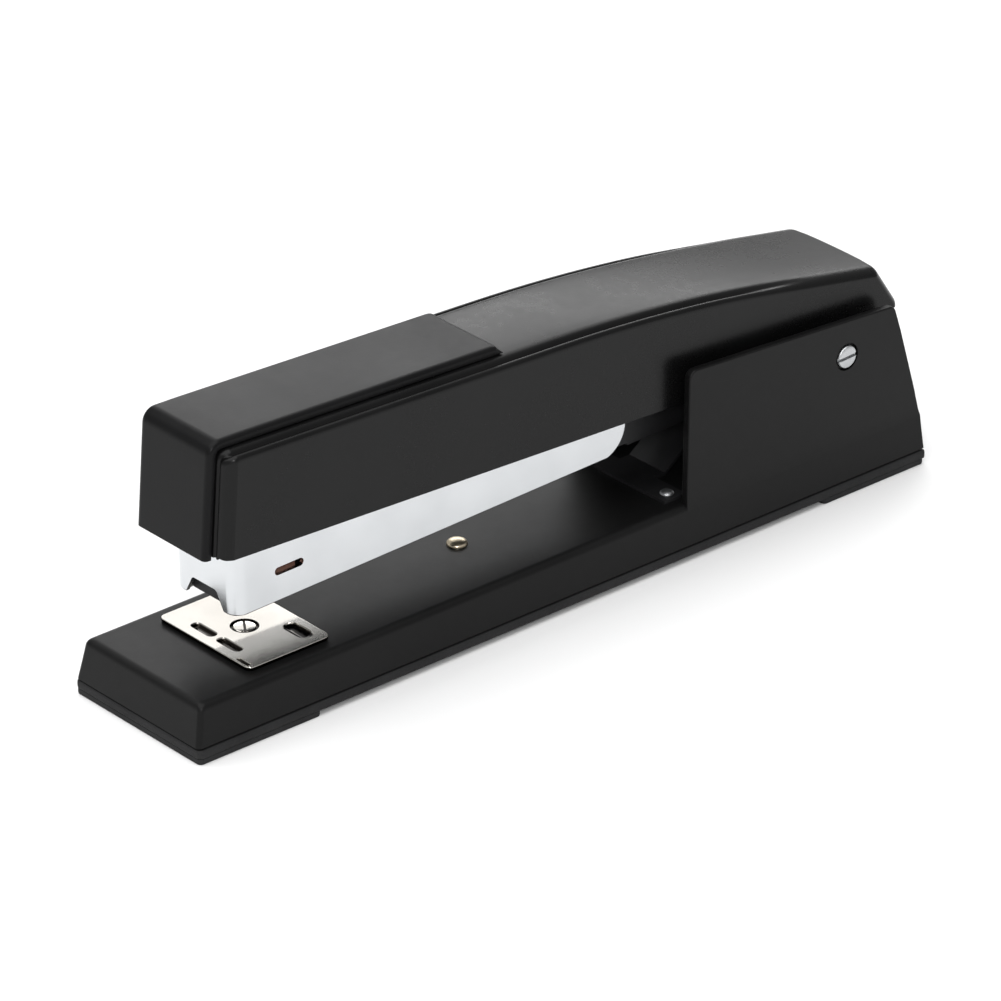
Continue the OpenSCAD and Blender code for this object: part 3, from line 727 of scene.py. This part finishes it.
def magazine():
    plan = [(M_FRONT, -M_HALF), (M_BACK, -M_HALF), (M_BACK, M_HALF), (M_FRONT, M_HALF)]
    outline = rounded(plan, [3, 0, 0, 3], 14)
    bottom_r = 0.35
    turns = [math.pi / 2 * k / 5 for k in range(6)]
    rings = [(M_LOW + bottom_r * (1 - math.cos(t)), bottom_r * (1 - math.sin(t))) for t in turns]
    rings.append((M_TOP, 0))
    body = solid_bm(*loft([[(*p, z) for p in inset(outline, d)] for z, d in rings]))
    front, back, half = M_FRONT + 1, M_BACK + 2, M_HALF - 1
    inside = rounded([(front, -half), (back, -half), (back, half), (front, half)], [2, 0, 0, 2], 10)
    channel = solid_bm(*prism(inside, M_LOW + 1, M_TOP + 3, "Z"))
    exit_slot = solid_bm(*box_shape((M_FRONT + 1, -6.6, -9), (INNER_FRONT, 6.6, -3)))
    arch = rounded([(-7.6, -8.5), (7.6, -8.5), (3.7, M_LOW + 3.7), (-3.7, M_LOW + 3.7)], [0, 0, 1.1, 1.1], 6)
    arch = solid_bm(*prism(arch, M_FRONT - 1, M_FRONT + 1.3, "X"))
    slot = [(x + (2.8 if x > 0 else -2.8), z) for x, z in disc(0, 0, 0.9, 28, -math.pi / 2)]
    slot = solid_bm(*prism([(-144 + x, 0.2 + z) for x, z in slot], -14, 14))
    r = 7
    turns = [-math.pi / 2 * k / 12 for k in range(13)]
    arc = [(M_BACK - r + r * math.cos(t), M_LOW + r + r * math.sin(t)) for t in turns]
    waste = [(M_BACK + 4, M_LOW + r), *arc, (M_BACK - r, M_LOW - 4), (M_BACK + 4, M_LOW - 4)]
    corner = solid_bm(*prism(waste, -14, 14))
    bm = combine(
        body, ("DIFFERENCE", channel), ("DIFFERENCE", exit_slot), ("DIFFERENCE", arch),
        ("DIFFERENCE", slot), ("DIFFERENCE", corner),
    )
    for v in bm.verts:
        x, z = v.co.x / MM, v.co.z / MM
        if z < -5.3 and x < -153.9:
            v.co.z -= 0.5 * MM * min(-153.9 - x, 1.0)
    bmesh.ops.transform(bm, matrix=MAG, verts=bm.verts)
    return finish_mesh("magazine_channel", bm, "chrome", "magazine", ["magazine_shell"], 30)


magazine()


def staples():
    verts, faces = [], []
    wire, half, low, top, gap = 0.5, 6.35, -3.1, 3.2, 0.02
    bend = rounded([(-half, low), (-half, top), (half, top), (half, low)], [0, 0.75, 0.75, 0], 4)
    reach, under = half - wire, top - wire
    inner = rounded([(-reach, low), (-reach, under), (reach, under), (reach, low)], [0, 0.28, 0.28, 0], 4)
    count = int(15.5 / wire)
    for i in range(count):
        x0 = INNER_FRONT + 0.1 + i * wire + gap / 2
        x1 = x0 + wire - gap
        e = 0.09
        rings = []
        for o, w in zip(bend, inner):
            o, w = Vector(o), Vector(w)
            rings.append([(x, p.x, p.y) for x, p in (
                (x0, o.lerp(w, e / wire)), (x0 + e, o), (x1 - e, o), (x1, o.lerp(w, e / wire)),
                (x1, w.lerp(o, e / wire)), (x1 - e, w), (x0 + e, w), (x0, w.lerp(o, e / wire)),
            )])
        v, f = loft(rings)
        faces += [tuple(a + len(verts) for a in q) for q in f]
        verts += v
    return place("staples", verts, faces, MAG, "coppered_wire", "magazine", ["staple_strip"], 35)


staples()


def coil(name, start, end, radius, wire, turns, matrix, slot, body, node):
    """Compression spring with closed end turns, as a mesh tube."""
    start, end = Vector(start), Vector(end)
    along = (end - start).normalized()
    side = along.orthogonal().normalized()
    other = along.cross(side)
    per_turn, sides = 18, 8
    total = turns * per_turn
    closed = 1.2  # turns lying flat at each end
    centre = []
    for i in range(total + 1):
        turn = i / per_turn
        flat = closed * 2 * wire * 1.05
        span = (end - start).length - 2 * wire
        if turn < closed:
            h = turn * 2 * wire * 1.05
        elif turn > turns - closed:
            h = span - (turns - turn) * 2 * wire * 1.05
        else:
            h = flat + (span - 2 * flat) * (turn - closed) / (turns - 2 * closed)
        t = 2 * math.pi * turn
        centre.append(start + along * (wire + h) + (side * math.cos(t) + other * math.sin(t)) * radius)
    rings = []
    for i, c in enumerate(centre):
        tangent = (centre[min(i + 1, total)] - centre[max(i - 1, 0)]).normalized()
        out = (c - start - along * (c - start).dot(along)).normalized()
        up = tangent.cross(out).normalized()
        out = up.cross(tangent)
        angles = [2 * math.pi * k / sides for k in range(sides)]
        rings.append([tuple(c + (out * math.cos(a) + up * math.sin(a)) * wire) for a in angles])
    verts, faces = loft(rings)
    obj = place(name, verts, faces, matrix, slot, body, [node], 60)
    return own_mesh(obj)


# the springs' ends in mm: (along the magazine, height) and height over the anvil post
FEED_FRONT, FEED_BACK, FEED_Z = -133.5, -28.7, -0.7
ANVIL_COIL_LOW, ANVIL_COIL_HIGH = 3.2, 10.8
coil(
    "feed_spring", (FEED_FRONT, 0, FEED_Z), (FEED_BACK, 0, FEED_Z), 2.05, 0.33, 34, MAG,
    "spring_steel", "magazine", "pusher_spring",
)
coil(
    "anvil_coil", (POST_D, 0, ANVIL_COIL_LOW), (POST_D, 0, ANVIL_COIL_HIGH), 4.15, 0.42, 5, HERE,
    "spring_steel", "base", "anvil_spring",
)


# ---------------------------------------------------------------- anvil
def capsule(x, y0, y1, half, steps=10):
    out = []
    for cy, base_angle in ((y1 - half, 0), (y0 + half, math.pi)):
        angles = [base_angle + math.pi * k / steps for k in range(steps + 1)]
        out += [(x + half * math.cos(a), cy + half * math.sin(a)) for a in angles]
    return out


def trough(outline, top, depth, reach):
    """Pressed pocket with sloping ends and a rounded bed."""
    rings = []
    slope = (
        (top + 0.4, 0), (top, 0), (top - depth * 0.55, reach * 0.22),
        (top - depth * 0.88, reach * 0.5), (top - depth, reach * 0.8),
    )
    for z, d in slope:
        rings.append([(*p, z) for p in inset(outline, d)])
    return solid_bm(*loft(rings))


def anvil():
    half_x, half_y, low, top = 10.6, 14.4, 12.6, 13.5
    plate = rounded([(-half_x, -half_y), (half_x, -half_y), (half_x, half_y), (-half_x, half_y)], 1.6, 6)
    body = solid_bm(*soft_prism(plate, low, top, "Z", 0.16))
    cuts = [("DIFFERENCE", solid_bm(*prism(disc(0, 0, 2.05), low - 1, top + 1, "Z")))]
    cuts.append(("DIFFERENCE", solid_bm(*prism(disc(0, 0, 3.0), top - 0.5, top + 1, "Z"))))
    for s in (-1, 1):
        pockets = (
            (-7.1, 0.5, 7.7, 1.25, 0.75),
            (6.9, 4.7, 12.3, 1.9, 0.75),
            (s * 9.5, 9.4, 13.4, 0.6, 0.6),
        )
        for x, y0, y1, half, depth in pockets:
            y0, y1 = (y0, y1) if s > 0 else (-y1, -y0)
            cuts.append(("DIFFERENCE", trough(capsule(x, y0, y1, half), top, depth, half)))
    bm = combine(body, *cuts)
    bmesh.ops.transform(bm, matrix=HERE @ Matrix.Translation((POST_D * MM, 0, 0)), verts=bm.verts)
    return finish_mesh("anvil_turnplate", bm, "nickel", "anvil", ["anvil_plate"], 30)


anvil()


def post():
    profile = [
        (0.01, 1.4), (1.9, 1.4), (2.0, 1.5), (2.0, 12.98), (2.05, 13.0), (2.3, 13.05),
        (2.32, 13.3), (2.2, 13.42), (1.9, 13.48), (0.01, 13.49),
    ]
    bm = solid_bm(*lathe(profile))
    slot = solid_bm(*box_shape((-3, -0.28, 13.2), (3, 0.28, 14)))
    bm = combine(bm, ("DIFFERENCE", slot))
    turn = Matrix.Rotation(math.radians(55), 4, "Z")
    bmesh.ops.transform(bm, matrix=HERE @ Matrix.Translation((POST_D * MM, 0, 0)) @ turn, verts=bm.verts)
    return finish_mesh("anvil_pin", bm, "nickel", "anvil", ["anvil_post"], 30)


post()


def screw(name, side, node, tilt):
    """Slotted low head in the cheek's recess. The screw, on the near side, also has the long pin."""
    head_r, face, seat = 2.5, CHEEK_OUT + 0.35, CHEEK_OUT - 0.9
    profile = [
        (0.01, seat), (head_r, seat), (head_r, face - 0.35), (2.38, face - 0.16),
        (2.1, face - 0.04), (1.6, face), (0.01, face),
    ]
    bm = solid_bm(*lathe(profile))
    slot = solid_bm(*box_shape((-3.5, -0.36, face - 0.62), (3.5, 0.36, face + 1)))
    bm = combine(bm, ("DIFFERENCE", slot))
    turn = Matrix.Rotation(math.radians(tilt), 4, "Z")
    bmesh.ops.transform(bm, matrix=turn, verts=bm.verts)
    if side < 0:
        shaft = [(0.01, -seat + 0.05), (1.9, -seat + 0.05), (2.0, -seat + 0.15), (2.0, seat), (0.01, seat)]
        shaft = solid_bm(*lathe(shaft))
        absorb(bm, shaft)
    lay = Matrix.Translation(PIN) @ Matrix.Rotation(math.radians(90 * -side), 4, "X")
    bmesh.ops.transform(bm, matrix=lay, verts=bm.verts)
    return finish_mesh(name, bm, "zinc_steel", "base", [node], 30)


screw("hinge_screw", -1, "pivot_screw", 3)
screw("hinge_nut", 1, "pivot_nut", 10)


def dome(name, spots, r, h, shank, depth, base_z, slot, body, node):
    """Round-headed studs or rivets standing on the height base_z, one for each spot."""
    verts, faces = [], []
    turns = [math.pi / 2 * k / 8 for k in range(1, 8)]
    for x, y in spots:
        foot = base_z - depth
        profile = [(0.01, foot), (shank, foot), (shank, base_z), (r, base_z), (r, base_z + 0.12 * h)]
        profile += [(r * math.cos(t), base_z + h * (0.12 + 0.88 * math.sin(t))) for t in turns]
        profile.append((0.01, base_z + h))
        v, f = lathe(profile, 40)
        faces += [tuple(a + len(verts) for a in q) for q in f]
        verts += [(p[0] + x, p[1] + y, p[2]) for p in v]
    return place(name, verts, faces, HERE, slot, body, [node], 40)


dome("stop_stud", [(83.8, 0)], 2.25, 1.2, 1.4, 1.5, TOP, "stud_brass", "base", "bumper_stud")
dome(
    "leaf_rivets", [(130.3, -12.6), (130.3, 12.6)], 1.5, 0.7, 0.8, 2.2, TOP + 0.7,
    "zinc_steel", "base", "lift_spring_rivets",
)


def handle_leaf():
    """The handle's leaf spring. Its dip stands above the CAD's, to clear the rail when the handle is down."""
    outline = [
        (150, 41.7), (141, 42.1), (127, 40.4), (112.5, 39.1), (107, 39.8),
        (107, 40.5), (112.5, 39.8), (126.8, 41.1), (140.8, 42.8), (150, 42.4),
    ]
    verts, faces = prism(outline, -4.5, 4.5)
    return place("handle_leaf", verts, faces, HERE, SLOT_OF["handle_spring"], "handle", ["handle_spring"], 20)


handle_leaf()


# ---------------------------------------------------------------- CAD nodes that show as they are
for node, obj in NODES.items():
    obj.data.materials.clear()
    obj.data.materials.append(MATERIALS[SLOT_OF[node]])


# ---------------------------------------------------------------- studio
def floor():
    n = Nodes("floor_paper")
    n.done(
        Base_Color=n.colours(n.noise(3, 3), [(0.3, (0.86, 0.86, 0.86)), (0.7, (0.88, 0.88, 0.88))]),
        Roughness=0.85,
        Specular_IOR_Level=0.2,
        Normal=n.bump(n.noise(900, 3), 0.00002, 0.3),
    )
    mesh = bpy.data.meshes.new("floor")
    mesh.from_pydata([(-8, -8, 0), (8, -8, 0), (8, 8, 0), (-8, 8, 0)], [], [(0, 1, 2, 3)])
    obj = bpy.data.objects.new("floor", mesh)
    bpy.context.scene.collection.objects.link(obj)
    mesh.materials.append(n.mat)


floor()


def area_light(name, place_at, aim, size, watts):
    lamp = bpy.data.lights.new(name, "AREA")
    lamp.shape = "RECTANGLE"
    lamp.size, lamp.size_y = size
    lamp.energy = watts
    obj = bpy.data.objects.new(name, lamp)
    bpy.context.scene.collection.objects.link(obj)
    obj.location = place_at
    obj.rotation_mode = "QUATERNION"
    obj.rotation_quaternion = (Vector(aim) - Vector(place_at)).to_track_quat("-Z", "Y")
    return obj


def around(azimuth, elevation, distance):
    a, e = math.radians(azimuth), math.radians(elevation)
    return Vector((math.sin(a) * math.cos(e), -math.cos(a) * math.cos(e), math.sin(e))) * distance


CAM_AZ, CAM_EL = -41.05, 27.4
world = bpy.data.worlds.new("studio")
bpy.context.scene.world = world
world.use_nodes = True
world.node_tree.nodes["Background"].inputs["Color"].default_value = (1, 1, 1, 1)
world.node_tree.nodes["Background"].inputs["Strength"].default_value = 0.42
area_light("back_softbox", around(CAM_AZ + 180, 22.5, 2.4), (0, 0, 0.03), (1.8, 0.34), 9)
area_light("back_panel", around(CAM_AZ + 180, 38.5, 2.4), (0, 0, 0.03), (1.7, 0.98), 5.8)
area_light("top_softbox", around(CAM_AZ - 60, 78, 2.0), (0, 0, 0), (2.8, 2.8), 54)
area_light("camera_fill", around(CAM_AZ, 31, 1.7), (0, 0, 0.03), (0.3, 0.3), 9)

look = Vector((0, 0, 0.025))
camera = bpy.data.cameras.new("camera")
PHOTO_PX, FOCAL_PX, SENSOR, CAM_DISTANCE = 1001, 7040, 36, 1.44407  # the fitted view of the photo
camera.sensor_width = SENSOR
camera.lens = FOCAL_PX / PHOTO_PX * SENSOR
camera.shift_x = -12.5 / PHOTO_PX
camera.shift_y = -33.5 / PHOTO_PX
camera.clip_start, camera.clip_end = 0.05, 30
eye = bpy.data.objects.new("camera", camera)
bpy.context.scene.collection.objects.link(eye)
eye.location = look + around(CAM_AZ, CAM_EL, CAM_DISTANCE)
eye.rotation_mode = "QUATERNION"
eye.rotation_quaternion = (look - eye.location).to_track_quat("-Z", "Y")
bpy.context.scene.camera = eye
bpy.context.scene.view_settings.view_transform = "Standard"
